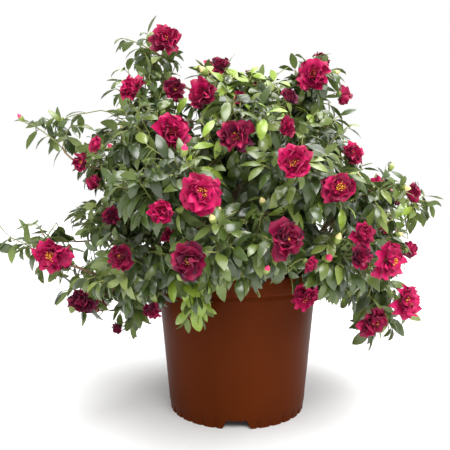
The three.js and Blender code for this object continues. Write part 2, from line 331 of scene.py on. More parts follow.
def patterned(
    name, dark, light, roughness, scale, stretch=(1, 1, 1), bump=0.1, bump_scale=None, depth=0.0005
):
    """A material whose colour and roughness wander between two values, with a fine bump."""
    material = principled(name, dark, roughness[0])
    nodes, links = material.node_tree.nodes, material.node_tree.links
    shader = nodes["Principled BSDF"]
    place = nodes.new("ShaderNodeTexCoord")
    mapping = nodes.new("ShaderNodeMapping")
    mapping.inputs["Scale"].default_value = stretch
    links.new(place.outputs["Object"], mapping.inputs["Vector"])
    noise = noise_node(nodes, links, mapping, scale, 6)
    ramp = nodes.new("ShaderNodeValToRGB")
    ramp.color_ramp.elements[0].position = 0.3
    ramp.color_ramp.elements[0].color = (*srgb(dark), 1)
    ramp.color_ramp.elements[1].position = 0.72
    ramp.color_ramp.elements[1].color = (*srgb(light), 1)
    links.new(noise.outputs["Fac"], ramp.inputs["Fac"])
    links.new(ramp.outputs["Color"], shader.inputs["Base Color"])
    spread = nodes.new("ShaderNodeMapRange")
    spread.inputs["To Min"].default_value = roughness[0]
    spread.inputs["To Max"].default_value = roughness[1]
    links.new(noise.outputs["Fac"], spread.inputs["Value"])
    links.new(spread.outputs["Result"], shader.inputs["Roughness"])
    fine = noise_node(nodes, links, mapping, bump_scale or scale * 6, 4)
    raised = nodes.new("ShaderNodeBump")
    raised.inputs["Strength"].default_value = bump
    raised.inputs["Distance"].default_value = depth
    links.new(fine.outputs["Fac"], raised.inputs["Height"])
    links.new(raised.outputs["Normal"], shader.inputs["Normal"])
    return material


def noise_node(nodes, links, mapping, scale, detail):
    noise = nodes.new("ShaderNodeTexNoise")
    noise.inputs["Scale"].default_value = scale
    noise.inputs["Detail"].default_value = detail
    links.new(mapping.outputs["Vector"], noise.inputs["Vector"])
    return noise


LEAF_GREENS = [(42, 56, 20), (58, 74, 28), (82, 97, 40), (108, 122, 56), (124, 148, 46)]
LEAF_SHARES = [0.3, 0.34, 0.24, 0.12]
LIME = 4
PALE_UNDER = 5
PETIOLE = 6
leaf_materials = [principled(f"leaf_{i}", c, 0.3, 0.65) for i, c in enumerate(LEAF_GREENS)]
leaf_materials.append(principled("leaf_underside", (116, 132, 76), 0.55, 0.35))
leaf_materials.append(principled("leaf_stalk", (142, 148, 78), 0.5))
twig_materials = [
    principled("twig_brown", (116, 92, 66), 0.75),
    principled("twig_green", (114, 118, 58), 0.6),
]
# Petal reds from lit to shaded. The darker reds are painted shade: they stand in for the shade inside cupped,
# half-open blooms and between petals.
PETAL_REDS_LIT_TO_SHADED = [(170, 6, 76), (145, 3, 60), (117, 2, 49), (78, 1, 38)]
bloom_materials = [principled(f"petal_{i}", c, 0.5, 0.25, sheen=0.05) for i, c in enumerate(PETAL_REDS_LIT_TO_SHADED)]
bloom_materials.append(principled("stamen", (226, 132, 34), 0.6))
bloom_materials.append(principled("anther", (236, 168, 56), 0.7))
bloom_materials.append(principled("calyx", (96, 112, 48), 0.55))
STAMEN, ANTHER, CALYX = 4, 5, 6
STAMENS = 22
bud_materials = [
    principled("bud_scale", (124, 140, 66), 0.5),
    principled("bud_cream", (214, 196, 132), 0.5),
    principled("bud_pink", (206, 40, 96), 0.5),
]


# ---- limbs from the frame ----
def node_points(name):
    vertices = frame["nodes"][name].data.vertices
    points = np.empty(len(vertices) * 3, np.float32)
    vertices.foreach_get("co", points)
    return points.reshape(-1, 3).astype(float)


def node_triangles(name):
    mesh = frame["nodes"][name].data
    mesh.calc_loop_triangles()
    triangles = np.empty(len(mesh.loop_triangles) * 3, np.int32)
    mesh.loop_triangles.foreach_get("vertices", triangles)
    return triangles.reshape(-1, 3)


def centreline(name, start, slices):
    """A limb's middle line from the frame, as points and radii, from the end that is nearer to start."""
    points = np.unique(node_points(name).round(6), axis=0)
    middle = points.mean(0)
    axis = np.linalg.svd(points - middle)[2][0]
    if np.dot(middle - start, axis) < 0:
        axis = -axis
    along = (points - middle) @ axis
    edges = np.linspace(along.min(), along.max() + 1e-6, slices + 1)
    line, radii = [], []
    for low, high in zip(edges[:-1], edges[1:]):
        inside = points[(along >= low) & (along < high)]
        if len(inside) >= 5:
            centre = inside.mean(0)
            spokes = inside - centre
            spokes = spokes - (spokes @ axis)[:, None] * axis
            line.append(centre)
            radii.append(np.linalg.norm(spokes, axis=1).mean())
    return np.array(line), np.array(radii)


def smooth_line(line, radii, step):
    """A finer line through the same points, rounded at its bends."""
    for _ in range(3):
        middles = (line[:-1] + line[1:]) / 2
        line = np.concatenate([line[:1], middles, line[-1:]])
        radii = np.concatenate([radii[:1], (radii[:-1] + radii[1:]) / 2, radii[-1:]])
    lengths = np.concatenate([[0], np.cumsum(np.linalg.norm(np.diff(line, axis=0), axis=1))])
    stops = np.linspace(0, lengths[-1], max(3, int(lengths[-1] / step)))
    return (
        np.stack([np.interp(stops, lengths, line[:, i]) for i in range(3)], -1),
        np.interp(stops, lengths, radii),
    )


mass_names = sorted(n for n in frame["nodes"] if n.startswith("foliage_"))
bough_names = sorted(n for n in frame["nodes"] if n.startswith("bough_"))
crown_points = np.concatenate([node_points(n) for n in mass_names])
crown_centre = (crown_points.min(0) + crown_points.max(0)) / 2
pot_high = np.array(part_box("pot")[1])
soil_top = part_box("potting_mix")[1].z
stem_low, stem_high = (np.array(c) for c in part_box("stem"))


def bark_relief(points):
    """Fine ridges along a limb, and a few knots."""
    ridges = waves(points * np.array([1, 1, 0.35]), 5 * MM, 2.0)
    knots = np.maximum(waves(points, 26 * MM, 7.0) - 0.55, 0)
    return (0.35 * ridges + 2.2 * knots) * MM


def build_limbs():
    """The stem and the boughs, with their bark, as one piece. Returns each bough's line and radii."""
    piece = Piece()
    line, radii = centreline("stem", np.array([0, 0, -1.0]), 6)
    line[0, 2] = stem_low[2] - 2 * MM
    line = np.concatenate([line, line[-1:] + UP * 9 * MM])
    radii = np.concatenate([radii, radii[-1:] * 0.7])
    fine, thick = smooth_line(line, radii, 1.5 * MM)
    foot = np.exp(-(fine[:, 2] - stem_low[2]) / (9 * MM))
    piece.add(*tube(fine, thick + foot * 2 * MM, 40, bark_relief), 0)
    lines = {}
    for name in bough_names:
        root = np.array([0, 0, stem_high[2] - 30 * MM])
        bough, thick = centreline(name, root, 9)
        foot_height = bough[0, 2] - BOUGH_SINK
        heart_x = np.interp(foot_height, line[:, 2], line[:, 0])
        heart_y = np.interp(bough[0, 2], line[:, 2], line[:, 1])
        inner = np.array([heart_x, heart_y, foot_height])
        bough = np.concatenate([[inner], bough])
        thick = np.concatenate([thick[:1] * 1.15, thick])
        fine, radii = smooth_line(bough, thick, 2.5 * MM)
        piece.add(*tube(fine, radii, 24, bark_relief), 0)
        lines[name] = (fine, radii)
    bark = patterned(
        "bark", (70, 58, 44), (132, 116, 92), (0.75, 0.92), 160, (1, 1, 0.35), bump=0.6, depth=0.001
    )
    piece.build("stem_and_boughs", [bark], "bark", ["stem", *bough_names])
    return lines


# ---- where the foliage goes ----
def surface_samples(name, count):
    """Points spread evenly over a mass, with the direction out of it at each."""
    points, triangles = node_points(name), node_triangles(name)
    a, b, c = (points[triangles[:, i]] for i in range(3))
    normals = np.cross(b - a, c - a)
    areas = np.linalg.norm(normals, axis=1) / 2
    picked = rng.choice(len(triangles), count, p=areas / areas.sum())
    u, v = rng.random((2, count))
    over = u + v > 1
    u[over], v[over] = 1 - u[over], 1 - v[over]
    places = a[picked] + u[:, None] * (b - a)[picked] + v[:, None] * (c - a)[picked]
    return places, unit(normals[picked]), areas.sum()


def all_masses_tree():
    points, triangles, start = [], [], 0
    for name in mass_names:
        p, t = node_points(name), node_triangles(name)
        points.append(p)
        triangles.append(t + start)
        start += len(p)
    return BVHTree.FromPolygons(np.concatenate(points).tolist(), np.concatenate(triangles).tolist())


def shoot_targets():
    """Where each leafy shoot ends and the way it points, as a list of (mass, tip, direction, length)."""
    masses = all_masses_tree()
    targets = []
    for name in mass_names:
        centre = node_points(name).mean(0)
        area = surface_samples(name, 1)[2]
        places, normals, _ = surface_samples(name, int(12 * area / SHOOT_SPACING**2))
        hidden = np.array([
            masses.ray_cast(Vector(p + n * MM), Vector(n), COVER_DEPTH)[0] is not None
            for p, n in zip(places, normals)
        ])
        spacing = SHOOT_SPACING * OPEN_MASSES.get(name, 1.0) * np.where(hidden, 1.7, 1.0)
        rise = -1.3 if name.startswith("foliage_hanging") else 0.35
        kept = []
        for i in range(len(places)):
            near = np.linalg.norm(places[kept] - places[i], axis=1) if kept else np.array([1.0])
            if near.min() > spacing[i]:
                kept.append(i)
        for i in kept:
            outward = unit(places[i] - crown_centre)
            direction = normals[i] * 0.75 + outward * 0.7 + unit(places[i] - centre) * 0.4 + UP * rise
            direction = unit(direction + rng.normal(0, 0.28, 3))
            length = rng.uniform(*SHOOT_LENGTH)
            depth = rng.uniform(6, 30) * MM + (14 * MM if hidden[i] else 0)
            targets.append((name, places[i] - normals[i] * depth, direction, length))
    return targets


def bloom_places():
    """Each bloom's (centre, facing, diameter, openness)."""
    blooms = []
    for name, right, up, diameter, openness in FRONT_BLOOMS:
        ahead = math.sqrt(max(0.06, 1 - right * right - up * up))
        blooms.append(bloom_on(name, np.array([right, -ahead, up]), diameter, openness))
    hidden = [n for n in mass_names if "back" in n or n in BACK_BLOOM_MASSES[:2]]
    hidden += BACK_BLOOM_MASSES[2:]
    while len(blooms) < len(FRONT_BLOOMS) + BACK_BLOOMS:
        name = hidden[len(blooms) % len(hidden)]
        centre = node_points(name).mean(0)
        way = unit(unit(centre - crown_centre) + rng.normal(0, 0.55, 3))
        if way[1] < 0.15:
            continue
        bloom = bloom_on(name, way, rng.uniform(38, 66), rng.uniform(0.4, 1))
        if min(np.linalg.norm(bloom[0] - other[0]) for other in blooms) > 60 * MM:
            blooms.append(bloom)
    return blooms


def bloom_on(name, way, diameter, openness):
    """A bloom on the surface of a mass, in a direction from the mass's middle."""
    points = node_points(name)
    low, high = points.min(0), points.max(0)
    centre = (low + high) / 2
    tree = BVHTree.FromPolygons(points.tolist(), node_triangles(name).tolist())
    outside = centre + unit(way * (high - low) / 2) * 0.5
    place = tree.ray_cast(Vector(outside), Vector(centre - outside))[0]
    place = np.array(place)
    facing = unit(way) * 0.6 + unit(place - crown_centre) * 0.4 + rng.normal(0, 0.22, 3)
    if way[1] < 0:
        facing = facing + np.array([0, -0.4, 0.05])
    facing = unit(facing)
    return place + facing * BLOOM_STANDS_OUT, facing, diameter * MM, openness


# ---- the branching rule ----
class Tree:
    """Twigs as points, each with the point it grew from."""

    def __init__(self):
        self.place = np.empty((60000, 3))
        self.way = np.empty((60000, 3))
        self.path = np.zeros(60000)
        self.open = np.zeros(60000, bool)
        self.limb = np.zeros(60000, bool)
        self.parent = np.full(60000, -1)
        self.count = 0

    def add(self, place, parent, can_branch=True):
        i = self.count
        self.place[i] = place
        self.parent[i] = parent
        self.open[i] = can_branch
        if parent >= 0:
            step = place - self.place[parent]
            self.way[i] = unit(step)
            self.path[i] = self.path[parent] + np.linalg.norm(step)
        self.count += 1
        return i

    def add_limb(self, line):
        last = self.add(line[0], -1)
        self.way[last] = unit(line[1] - line[0])
        for place in line[1:]:
            last = self.add(place, last)
        self.limb[: self.count] = True

    def nearest(self, target, closed_cost):
        """The point that a new twig to target leaves from: near, not far along, and not a sharp turn back."""
        n = self.count
        gap = target - self.place[:n]
        distance = np.linalg.norm(gap, axis=1)
        turn = 1 - (gap * self.way[:n]).sum(1) / np.maximum(distance, 1e-6)
        cost = distance * (1 + 0.35 * turn) + 0.12 * self.path[:n] + np.where(self.open[:n], 0, closed_cost)
        return int(np.argmin(cost))

    def grow_to(self, base, direction, closed_cost=1.0):
        """A curved twig from the tree to base, arriving in that direction. Returns its last point."""
        start = self.nearest(base, closed_cost)
        origin = self.place[start]
        reach = np.linalg.norm(base - origin)
        if reach < 3 * MM:
            return start
        leave = unit(self.way[start] * 0.5 + (base - origin) / reach)
        steps = max(1, int(round(reach / (13 * MM))))
        last = start
        for k in range(1, steps + 1):
            t = k / steps
            bend = origin * (1 - t) ** 3 + base * t**3
            bend = bend + 3 * t * (1 - t) ** 2 * (origin + leave * reach * 0.35)
            bend = bend + 3 * t * t * (1 - t) * (base - direction * reach * 0.3)
            last = self.add(bend, last)
        return last


def shoot_line(base, direction, length):
    """A shoot that leaves base in a direction, turning up a little and then nodding at its tip."""
    steps = 5
    side = across(direction, rng.normal(0, 1, 3))
    lift = rng.uniform(0.0, 0.35)
    nod = rng.uniform(0.1, 0.5)
    line = [base]
    way = direction
    for k in range(steps):
        way = unit(way + UP * (lift if k < 2 else -nod * 0.5) * 0.5 + side * rng.normal(0, 0.07))
        line.append(line[-1] + way * length / steps)
    return np.array(line)


LEAF_ROWS = np.array([0.12, 0.34, 0.6, 0.84])
LEAF_COLUMNS = np.array([-1, -0.52, 0, 0.52, 1])


def leaf_template(arch, fold, curl, twist, width):
    """A leaf of length 1 along X, with its face up: a pointed ellipse, keeled along its midrib."""
    rows = np.concatenate([[0], LEAF_ROWS, [1]])
    half = width * np.sin(np.pi * rows**0.9) ** 0.8 * (1 - 0.15 * rows)
    along = np.sin(arch * rows) / arch
    sink = -(1 - np.cos(arch * rows)) / arch

    def at(i, u, thickness):
        turn = twist * rows[i]
        y = u * half[i]
        z = fold * abs(u) * half[i] - curl * u * u * half[i] - thickness
        across_leaf = y * math.cos(turn) - z * math.sin(turn)
        above_leaf = sink[i] + y * math.sin(turn) + z * math.cos(turn)
        return [along[i], across_leaf, above_leaf]

    n = len(LEAF_COLUMNS)
    inner = range(1, len(rows) - 1)
    top = [at(0, 0, 0)] + [at(i, u, 0) for i in inner for u in LEAF_COLUMNS] + [at(len(rows) - 1, 0, 0)]
    end = len(top) - 1
    faces = [[0, 1 + c, 2 + c] for c in range(n - 1)]
    for r in range(len(LEAF_ROWS) - 1):
        for c in range(n - 1):
            a = 1 + r * n + c
            faces += [[a, a + n, a + n + 1], [a, a + n + 1, a + 1]]
    last = 1 + (len(LEAF_ROWS) - 1) * n
    faces += [[last + c, end, last + c + 1] for c in range(n - 1)]
    top_count = len(faces)
    base = len(top)
    middle_rows = [at(i, u, LEAF_THICKNESS * (u == 0)) for i in inner for u in (-1, 0, 1)]
    under = [at(0, 0, 0)] + middle_rows + [at(len(rows) - 1, 0, 0)]
    faces += [[base, base + 2 + c, base + 1 + c] for c in range(2)]
    for r in range(len(LEAF_ROWS) - 1):
        for c in range(2):
            a = base + 1 + r * 3 + c
            faces += [[a, a + 4, a + 3], [a, a + 1, a + 4]]
    last = base + 1 + (len(LEAF_ROWS) - 1) * 3
    finish = base + len(under) - 1
    faces += [[last + c, last + c + 1, finish] for c in range(2)]
    under_count = len(faces) - top_count
    stalk = base + len(under)
    radius = 0.018
    ring = [[math.cos(k * 2.0944) * radius, math.sin(k * 2.0944) * radius] for k in range(3)]
    prism = [[-0.13, y, z] for y, z in ring] + [[0.03, y, z] for y, z in ring]
    for k in range(3):
        j = (k + 1) % 3
        faces += [[stalk + k, stalk + j, stalk + 3 + j], [stalk + k, stalk + 3 + j, stalk + 3 + k]]
    parts = np.repeat([0, 1, 2], [top_count, under_count, len(faces) - top_count - under_count])
    return np.array(top + under + prism), np.array(faces), parts


def make_leaf_kinds():
    kinds = []
    for k in range(LEAF_KINDS):
        share = k / (LEAF_KINDS - 1)
        kinds.append(
            leaf_template(
                0.5 + 1.2 * share, 0.5 - 0.25 * share, 0.5, rng.uniform(-0.7, 0.7), rng.uniform(0.2, 0.25)
            )
        )
    return kinds


class Leaves:
    """Every leaf's place, directions, size, kind and green, gathered before they are joined into pieces."""

    def __init__(self, keep):
        """keep(places, axes, sizes) says which leaves are allowed."""
        self.keep = keep
        self.rows = []

    def on_shoot(self, line, young, green):
        """Leaves round a shoot, one at each step, with two more at its tip.

        Adds those that are allowed. Adds none, and returns False, where too few would be left.
        """
        rows = []
        lengths = np.concatenate([[0], np.cumsum(np.linalg.norm(np.diff(line, axis=0), axis=1))])
        turn = rng.uniform(0, 2 * math.pi)
        stops = list(np.arange(0.24 * lengths[-1], lengths[-1], LEAF_STEP)) + [lengths[-1]] * 2
        for k, stop in enumerate(stops):
            place = np.array([np.interp(stop, lengths, line[:, i]) for i in range(3)])
            i = min(len(line) - 2, int(np.searchsorted(lengths, stop, side="right")) - 1)
            way = unit(line[i + 1] - line[i])
            side = across(way, np.array([math.cos(turn), math.sin(turn), 0.2]) + 1e-3)
            binormal = np.cross(way, side)
            angle = turn + k * GOLDEN_ANGLE
            spoke = side * math.cos(angle) + binormal * math.sin(angle)
            share = stop / lengths[-1]
            spread = math.radians(rng.uniform(48, 74) - 30 * max(0, share - 0.75) / 0.25)
            axis = way * math.cos(spread) + spoke * math.sin(spread)
            axis = unit(axis - UP * rng.uniform(0.0, 0.75))
            outward = unit(place - crown_centre)
            face = across(axis, UP * 0.9 + outward * 0.6 + rng.normal(0, 0.42, 3))
            size = rng.uniform(*LEAF_LENGTH) * (1 - 0.25 * max(0, share - 0.8) / 0.2)
            tone = green if rng.random() < 0.6 else rng.choice(4, p=LEAF_SHARES)
            kind = rng.integers(LEAF_KINDS)
            rows.append((place + axis * 0.13 * size, axis, face, size, kind, LIME if young else tone))
        kept = self.keep(*(np.array([row[i] for row in rows]) for i in (0, 1, 3)))
        if kept.mean() < LEAVES_LEFT:
            return False
        self.rows += [row for row, ok in zip(rows, kept) if ok]
        return True

    def build(self):
        """Joins the leaves into pieces under the limit."""
        kinds = make_leaf_kinds()
        place, axis, face, size, kind, green = (np.array(column) for column in zip(*self.rows))
        frames = np.stack([axis, np.cross(face, axis), face], -1)
        order = np.argsort(place[:, 1])
        per_leaf = len(kinds[0][1])
        pieces = math.ceil(len(order) * per_leaf / PIECE_LIMIT)
        for number, part in enumerate(np.array_split(order, pieces)):
            piece = Piece()
            for k, (template, faces, parts) in enumerate(kinds):
                mine = part[kind[part] == k]
                if len(mine):
                    pale = np.where(parts == 1, PALE_UNDER, PETIOLE)
                    tones = np.where(parts == 0, green[mine][:, None], pale)
                    copies(piece, template, faces, tones, place[mine], frames[mine], size[mine])
            replaced = mass_names if number == 0 else ()
            piece.build(f"leaves_{number + 1}", leaf_materials, "foliage", replaced)


# ---- blooms ----
def petal(length, width, cup, ruffle, notch, phase):
    """A closed, thin petal along X from its claw, face up: wavy, and notched at its tip."""
    rows, columns = 6, 7
    t = np.linspace(0, 1, rows)[:, None]
    u = np.linspace(-1, 1, columns)[None]
    half = width / 2 * (0.22 + 0.78 * np.sin(np.pi * (0.06 + 0.6 * t)) ** 1.2)
    reach = 1 - 0.36 * np.abs(u) ** 3 * t**2 - notch * np.exp(-((u / 0.24) ** 2)) * t**3
    reach = reach - 0.08 * np.abs(np.sin(2.6 * u + phase)) * t**3
    x = length * t * reach
    y = half * np.sin(u * 1.25) / math.sin(1.25)
    z = cup * length * (t**1.7) * 0.5 + 0.16 * width * u * u * (1 - 0.4 * t)
    z = z + ruffle * length * t**2 * np.sin(5.4 * u + phase) * (0.45 + 0.55 * np.abs(u))
    z = z - 0.12 * length * t**5 * (1 + 0.5 * np.sin(phase * 3))
    top = np.stack([x + 0 * u, y + 0 * t, z], -1).reshape(-1, 3)
    thickness = 0.5 * MM
    under = top - np.array([0, 0, thickness])
    inside = np.zeros((rows, columns), bool)
    inside[1:-1, 1:-1] = True
    under = np.where(inside.reshape(-1, 1), under, top)
    faces = grid_faces(rows, columns, False)
    return np.concatenate([top, under]), np.concatenate([faces, faces[:, ::-1] + len(top)])


def turn_about(axis, angle):
    """A rotation matrix."""
    x, y, z = axis
    c, s = math.cos(angle), math.sin(angle)
    k = np.array([[0, -z, y], [z, 0, -x], [-y, x, 0]])
    return np.eye(3) + s * k + (1 - c) * (k @ k)


def frame_from(facing):
    """Columns X, Y and Z, with Z along facing and X turned at random about it."""
    x = across(facing, rng.normal(0, 1, 3))
    return np.stack([x, np.cross(facing, x), facing], -1)


def whorls(openness):
    """Each ring of petals: how many, length and width over the bloom's radius, tilt above flat in degrees."""
    lift = 62 * (1 - openness)
    rings = [(8, 0.98, 0.94, 6 + lift), (7, 0.86, 0.88, 22 + lift * 0.8), (6, 0.7, 0.74, 40 + lift * 0.5)]
    if openness < 0.95 or rng.random() < 0.4:
        rings.append((6, 0.5, 0.44, 62))
    return rings


def add_bloom(piece, centre, facing, diameter, openness):
    radius = diameter / 2
    pose = frame_from(facing)
    start = rng.uniform(0, 2 * math.pi)
    # Painted shade: open blooms take the two lighter reds, and half-open, cupped ones take mostly the darker
    # reds in place of the shade in their cups. Each petal then moves a tone up or down at random.
    shade = rng.choice(2, p=[0.65, 0.35]) if openness > 0.75 else rng.choice(3, p=[0.2, 0.4, 0.4])
    for ring, (count, length, width, tilt) in enumerate(whorls(openness)):
        for k in range(count):
            around = start + (k + 0.5 * ring) * 2 * math.pi / count + rng.normal(0, 0.22)
            points, faces = petal(
                radius * length * rng.uniform(0.82, 1.12),
                radius * width * rng.uniform(0.82, 1.15),
                rng.uniform(0.25, 0.7),
                rng.uniform(0.15, 0.32),
                rng.uniform(0.04, 0.24),
                rng.uniform(0, 6.3),
            )
            tip = math.radians(tilt + rng.normal(0, 15))
            lay = turn_about((1, 0, 0), rng.normal(0, 0.3))
            lean = turn_about((0, -1, 0), tip)
            spin = turn_about((0, 0, 1), around)
            points = points @ (spin @ lean @ lay).T
            points = points + np.array([0, 0, ring * 0.035 * radius])
            tone = min(3, max(0, shade + rng.choice([-1, 0, 0, 0, 1])))
            piece.add(points @ pose.T + centre, faces, tone)
    if openness > 0.5:
        add_stamens(piece, centre, pose, radius * (0.36 if openness < 0.8 else 0.42))
    add_calyx(piece, centre, pose, radius * 0.26)


def add_stamens(piece, centre, pose, height):
    """A loose boss of thin filaments, each with its anther."""
    for k in range(STAMENS):
        share = math.sqrt((k + 0.5) / STAMENS)
        angle = k * GOLDEN_ANGLE
        way = unit(np.array([math.cos(angle) * share * 0.6, math.sin(angle) * share * 0.6, 1]))
        length = height * rng.uniform(0.85, 1.15)
        line = np.array([way * length * t + np.array([0, 0, 0.1 * height * t]) for t in (0.1, 0.55, 1)])
        points, faces = tube(line @ pose.T + centre, np.array([0.45, 0.35, 0.3]) * MM, 3)
        piece.add(points, faces, STAMEN)
        points, faces = blob(1.15 * MM, 1.7 * MM, 4, 2)
        piece.add(points @ pose.T + centre + pose @ line[-1], faces, ANTHER)


def add_calyx(piece, centre, pose, radius):
    points, faces = blob(radius, radius * 0.8, 8, 5)
    piece.add((points - np.array([0, 0, radius * 0.55])) @ pose.T + centre, faces, CALYX)


def blob(radius, height, sides, rings):
    """A closed egg shape along Z, with its middle at the origin."""
    angles = np.linspace(0, np.pi, rings + 2)
    line = np.array([[0, 0, -math.cos(a) * height] for a in angles[1:-1]])
    around = np.arange(sides) * 2 * math.pi / sides
    ring = np.stack([np.cos(around), np.sin(around), 0 * around], -1)
    points = line[:, None] + ring[None] * (np.sin(angles[1:-1]) * radius)[:, None, None]
    points = np.concatenate([points.reshape(-1, 3), [[0, 0, -height]], [[0, 0, height]]])
    k = np.arange(sides)
    following = (k + 1) % sides
    last = (rings - 1) * sides
    foot = np.stack([following, k, np.full(sides, len(points) - 2)], -1)
    tip = np.stack([last + k, last + following, np.full(sides, len(points) - 1)], -1)
    return points, np.concatenate([grid_faces(rings, sides, True), foot, tip])


def add_bud(piece, place, way, size, kind):
    """A flower bud: an egg with a closed tip, sheathed in green scales."""
    pose = frame_from(way)
    points, faces = blob(size * 0.32, size * 0.56, 10, 6)
    points[:, :2] *= 1 - 0.55 * np.clip(points[:, 2:] / (size * 0.56), 0, 1)
    middle = points[faces].mean(1)[:, 2]
    kinds = np.where(middle > size * 0.1, kind, 0)
    piece.add((points + np.array([0, 0, size * 0.5])) @ pose.T + place, faces, kinds)


# ---- the plant ----
def grow_plant():
    limbs = build_limbs()
    tree = Tree()
    for line, _ in limbs.values():
        tree.add_limb(line[::4])
    blooms = bloom_places()
    targets = shoot_targets()
    leaves = Leaves(lambda place, axis, size: allowed(place, axis, size, blooms))
    shoots = []
    wanted = [(tip - way * length, way, length, name) for name, tip, way, length in targets]
    fork = np.array([0, 0, stem_high[2]])
    wanted.sort(key=lambda w: np.linalg.norm(w[0] - fork))
    for base, way, length, name in wanted:
        line = shoot_line(base, way, length)
        young = rng.random() < YOUNG_MASSES.get(name, YOUNG_SHARE)
        green = rng.choice(4, p=LEAF_SHARES)
        if not clear_of_pot(line, 8 * MM).all() or not leaves.on_shoot(line, young, green):
            continue
        last = tree.grow_to(base, way)
        for place in line[1:]:
            last = tree.add(place, last, False)
        shoots.append(last)
    for centre, facing, diameter, _ in blooms:
        end = tree.grow_to(centre - facing * diameter * 0.42, facing, 4 * MM)
        tree.add(tree.place[end] + facing * diameter * 0.2, end, False)
    buds = []
    for name, right, up, size, kind in FRONT_BUDS:
        ahead = math.sqrt(max(0.06, 1 - right * right - up * up))
        place, way, _, _ = bloom_on(name, np.array([right, -ahead, up]), size, 0)
        way = unit(way + UP * 1.1)
        tree.grow_to(place - way * size * 0.5 * MM, way, 4 * MM)
        buds.append((place, way, size * MM, kind))
    build_twigs(tree)
    build_buds(tree, shoots, blooms, buds)
    build_blooms(blooms)
    leaves.build()


def clear_of_pot(points, gap):
    """Which points stand at least that far outside the pot's wall or above its lip."""
    away = np.hypot(points[:, 0], points[:, 1])
    return (away > pot_radius(points[:, 2]) + gap) | (points[:, 2] > pot_high[2] + gap)


def allowed(place, axis, size, blooms):
    """Which leaves stay: those inside the plant's bounds, clear of the pot and of the faces of blooms."""
    tips = place + axis * size[:, None]
    kept = np.ones(len(place), bool)
    low, high = np.array(cad_box[0]), np.array(cad_box[1])
    spare = (high - low) * 0.03 + 7 * MM
    for points in (place, (place + tips) / 2, tips):
        kept &= ((points > low - spare) & (points < high + spare)).all(1)
        kept &= clear_of_pot(points, 4 * MM)
        for centre, facing, diameter, _ in blooms:
            gap = points - centre
            ahead = gap @ facing
            aside = np.linalg.norm(gap - ahead[:, None] * facing, axis=1)
            kept &= ~((ahead > -0.12 * diameter) & (ahead < 1.6 * diameter) & (aside < 0.46 * diameter))
    return kept


def build_twigs(tree):
    """Every twig as tapering tubes, as thick as what they carry."""
    n = tree.count
    parent = tree.parent[:n]
    carried = np.zeros(n)
    children = np.bincount(parent[parent >= 0], minlength=n)
    carried[children == 0] = TWIG_TIP_RADIUS**PIPE_POWER
    for i in range(n - 1, -1, -1):
        if parent[i] >= 0:
            carried[parent[i]] += carried[i]
    radius = np.minimum(carried ** (1 / PIPE_POWER), TWIG_MOST_RADIUS)
    main = np.full(n, -1)
    for i in range(n):
        p = parent[i]
        if p >= 0 and (main[p] < 0 or radius[i] > radius[main[p]]):
            main[p] = i
    piece = Piece()
    for i in range(n):
        p = parent[i]
        if tree.limb[i] or (main[p] == i and not tree.limb[p]):
            continue
        chain = [p, i]
        while main[chain[-1]] >= 0:
            chain.append(main[chain[-1]])
        line = tree.place[chain]
        thick = radius[chain].copy()
        thick[0] = thick[1]
        sides = 6 if thick[0] > 1.5 * MM else 4
        points, faces = tube(line, thick, sides)
        young = np.repeat(thick < 1.3 * MM, sides)
        kinds = np.where(np.concatenate([young, [False, young[-1]]])[faces].all(1), 1, 0)
        piece.add(points, faces, kinds)
    piece.build("twigs", twig_materials, "bark")


def build_buds(tree, shoots, blooms, buds):
    """Flower buds at the ends of some shoots, green with a cream or pink tip."""
    piece = Piece()
    for i in shoots:
        near = min(np.linalg.norm(tree.place[i] - b[0]) for b in blooms)
        if near < 40 * MM or rng.random() > BUD_CHANCE:
            continue
        way = unit(tree.way[i] + rng.normal(0, 0.25, 3))
        size = rng.uniform(*BUD_LENGTH)
        add_bud(piece, tree.place[i], way, size * MM, rng.choice(3, p=BUD_SHARES))
    for place, way, size, kind in buds:
        add_bud(piece, place - way * size * 0.5, way, size, kind)
    piece.build("buds", bud_materials, "foliage")


def build_blooms(blooms):
    for side, chosen in (("front", blooms[: len(FRONT_BLOOMS)]), ("back", blooms[len(FRONT_BLOOMS) :])):
        piece = Piece()
        for centre, facing, diameter, openness in chosen:
            add_bloom(piece, centre - facing * diameter * 0.16, facing, diameter, openness)
        piece.build(f"blooms_{side}", bloom_materials, "bloom")


# ---- the pot ----
def heel_radius_of_pot():
    """The radius of the heel where it meets the ground, from the frame."""
    points = node_points("pot")
    away = np.hypot(points[:, 0], points[:, 1])
    return away[points[:, 2] < 1 * MM].max()


heel_radius = heel_radius_of_pot()
WALL_DRAFT = 0.097
WALL = 2.6 * MM
FLOOR_HEIGHT = 14 * MM
LIP_HEIGHT = 27 * MM
FLUTES = 32
NOTCHES = 4
POT_SPECULAR = 0.03
SOIL_DOME = 5 * MM  # how far the mix drops from its middle to the wall
CHIPS = 260


def pot_radius(z):
    """The outside of the pot's wall at a height."""
    return heel_radius + WALL_DRAFT * np.asarray(z)


def notch_height(angle):
    """How far the heel's lower edge stands off the ground, round the pot."""
    turn = 2 * math.pi / NOTCHES
    aside = np.abs((angle + turn / 2) % turn - turn / 2) * heel_radius
    slope = np.clip((24 * MM - aside) / (8.5 * MM), 0, 1)
    return (slope * slope * (3 - 2 * slope)) * (FLOOR_HEIGHT - 1.2 * MM)


def flute_depth(angle):
    """The V of each flute, from 0 to 1, round the pot."""
    along = (angle * FLUTES / (2 * math.pi)) % 1
    return np.clip(1 - np.abs(along - 0.5) / 0.16, 0, 1)


